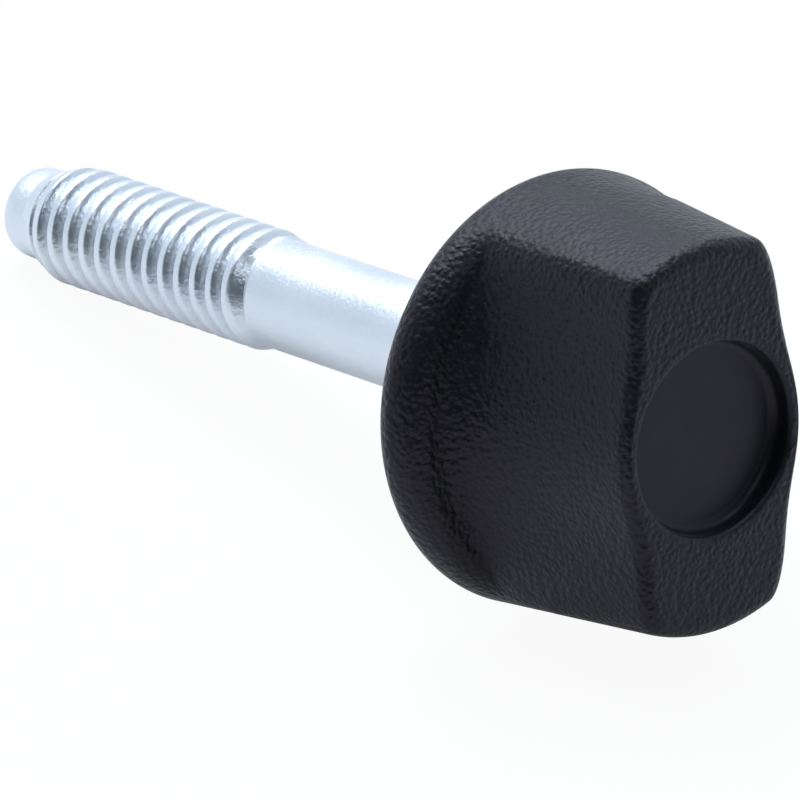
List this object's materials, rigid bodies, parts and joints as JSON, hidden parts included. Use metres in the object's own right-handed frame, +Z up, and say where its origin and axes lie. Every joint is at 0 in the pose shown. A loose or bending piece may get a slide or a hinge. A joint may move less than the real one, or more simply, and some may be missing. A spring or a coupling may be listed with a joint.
{
  "type": "air cleaner knob screw",
  "caption": "Fluted black hand knob moulded on a plain-shanked threaded steel stud, for fastening a lid or cover by hand.",
  "frame": {"origin": "on the surface that the screw lies on, under the middle of its bounding box", "axes": "+X along the surface from the tip of the stud towards the knob, +Z up; the screw's own axis rises from the tip to the knob by 11.8 degrees in the XZ plane"},
  "size_m": [0.0538, 0.0216, 0.0225],
  "materials": {
    "knob_plastic": "fine grained, moulded in black",
    "zinc_steel": "bright zinc plated"
  },
  "bodies": {
    "root": {"knob": "knob_plastic", "stud": "zinc_steel"}
  },
  "joints": []
}
